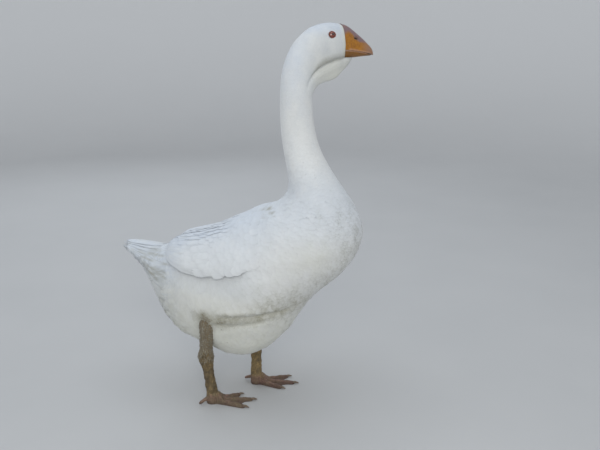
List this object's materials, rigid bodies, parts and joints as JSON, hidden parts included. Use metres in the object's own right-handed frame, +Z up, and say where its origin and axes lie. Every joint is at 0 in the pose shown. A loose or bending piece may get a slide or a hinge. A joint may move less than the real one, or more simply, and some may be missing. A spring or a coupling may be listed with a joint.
{
  "type": "domestic goose",
  "caption": "White domestic goose with an orange bill, life size, standing still with its head turned to its left.",
  "frame": {"origin": "on the floor under the middle of the goose's bounding box", "axes": "+X the way the body points (tail to breast), +Y the goose's left, +Z up; the soles are at z = 0"},
  "size_m": [0.5072, 0.24, 0.7495],
  "materials": {
    "plumage": "soft matt white feathers, a little soiled below",
    "bill": "satin horn, orange, paler pinkish tan at the tip",
    "eye": "wet gloss, dark red-brown",
    "leg_skin": "scaly skin with dried mud, olive brown",
    "foot_skin": "scaly skin and web, muddy pinkish brown",
    "claw": "worn horn"
  },
  "bodies": {
    "root": {"bill_lower": "bill", "bill_upper": "bill", "claw_inner_L": "claw", "claw_inner_R": "claw", "claw_middle_L": "claw", "claw_middle_R": "claw", "claw_outer_L": "claw", "claw_outer_R": "claw", "eye_L": "eye", "eye_R": "eye", "foot_L": "foot_skin", "foot_R": "foot_skin", "head": "plumage", "hind_toe_L": "foot_skin", "hind_toe_R": "foot_skin", "neck": "plumage", "shank_L": "leg_skin", "shank_R": "leg_skin", "tail": "plumage", "tibia_L": "leg_skin", "tibia_R": "leg_skin", "trunk": "plumage", "wing_L": "plumage", "wing_R": "plumage"}
  },
  "joints": []
}
